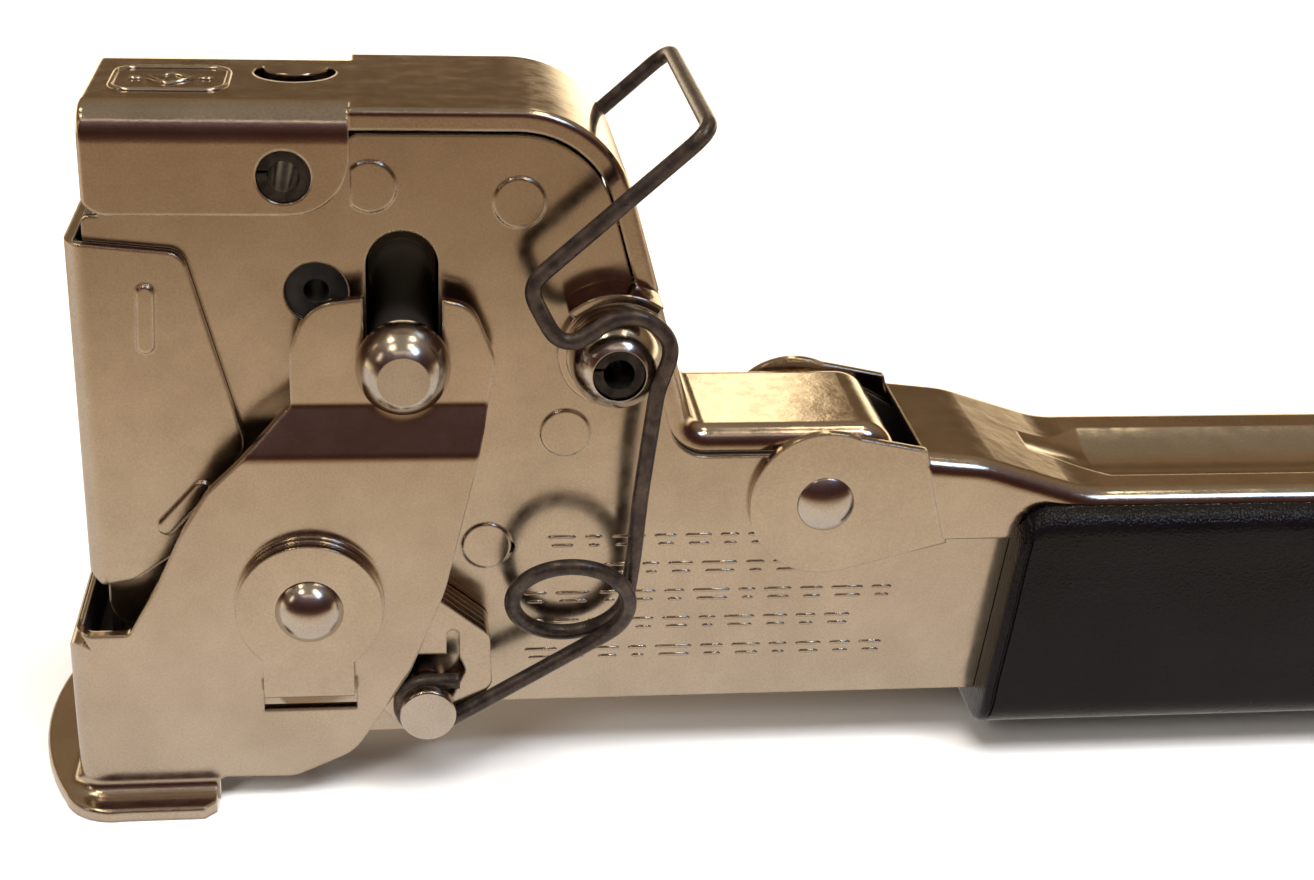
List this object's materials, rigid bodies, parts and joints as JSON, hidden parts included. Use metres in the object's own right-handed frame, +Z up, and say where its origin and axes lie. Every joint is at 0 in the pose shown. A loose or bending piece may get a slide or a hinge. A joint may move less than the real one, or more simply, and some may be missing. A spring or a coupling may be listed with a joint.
{
  "type": "hammer tacker",
  "caption": "Metal hammer tacker: a staple hammer with a sliding spring-returned nose, a hinged inner magazine and a cushioned grip.",
  "frame": {"origin": "under the middle of the tool, on the level of the nose foot's sole", "axes": "+X runs along the handle from the nose to the heel, +Y across the tool, +Z up, against the strike"},
  "size_m": [0.2876, 0.0502, 0.0882],
  "materials": {
    "plated_sheet": "satin nickel-plated sheet steel",
    "bright_steel": "polished plated steel",
    "dark_steel": "oiled spring steel",
    "hard_steel": "ground hardened steel",
    "staple_wire": "galvanised wire",
    "black_wire": "black oxide spring wire",
    "black_rubber": "matt rubber",
    "black_grip": "soft textured vinyl"
  },
  "bodies": {
    "frame": {"head_channel": "plated_sheet", "side_plate_left": "plated_sheet", "side_plate_right": "plated_sheet", "cap_pin": "dark_steel", "front_cover": "plated_sheet", "stop_bumper": "black_rubber", "spring_boss_left": "bright_steel", "spring_boss_right": "bright_steel", "boss_pin": "dark_steel", "spring_collar_left": "plated_sheet", "spring_collar_right": "plated_sheet", "handle_channel": "plated_sheet", "ear_rivet": "bright_steel", "handle_grip": "black_grip", "heel_plug": "black_grip", "heel_rivets": "bright_steel", "driver_blade": "hard_steel", "driver_holder": "hard_steel", "driver_screws": "hard_steel", "holder_pins": "bright_steel", "magazine_hinge_pin": "bright_steel", "return_spring": "black_wire"},
    "nose": {"nose_jaw": "plated_sheet", "knob_stud": "bright_steel", "cross_pin": "bright_steel", "keyed_washer_left": "plated_sheet", "keyed_washer_right": "plated_sheet", "guide_block_left": "plated_sheet", "guide_block_right": "plated_sheet", "latch_plate_left": "plated_sheet", "latch_plate_right": "plated_sheet", "spring_pin_left": "bright_steel", "spring_pin_right": "bright_steel", "nose_guide": "hard_steel"},
    "magazine": {"magazine_channel": "plated_sheet", "staple_rail": "hard_steel", "staple_strip": "staple_wire", "magazine_end_block": "hard_steel", "follower_spring": "hard_steel"},
    "follower": {"staple_follower": "hard_steel", "follower_tab": "hard_steel"}
  },
  "joints": [
    {"name": "nose_slide", "type": "slide", "parent": "frame", "child": "nose", "axis": [0, 0, 1], "range_m": [0, 0.0095], "stiffness_N_per_m": 3000, "springref_m": -0.008, "deforming": ["return_spring"]},
    {"name": "magazine_hinge", "type": "hinge", "parent": "frame", "child": "magazine", "pos_m": [0.04498, 0, 0.02691], "axis": [0, 1, 0], "range_deg": [0, 3.39]},
    {"name": "follower_slide", "type": "slide", "parent": "magazine", "child": "follower", "axis": [0.9936, 0, 0.1132], "range_m": [0, 0.095], "stiffness_N_per_m": 40, "springref_m": -0.06, "deforming": ["follower_spring"]}
  ],
  "couplings": [
    {"joint": "magazine_hinge", "follows": "nose_slide", "rad_per_m": 5.6761}
  ]
}
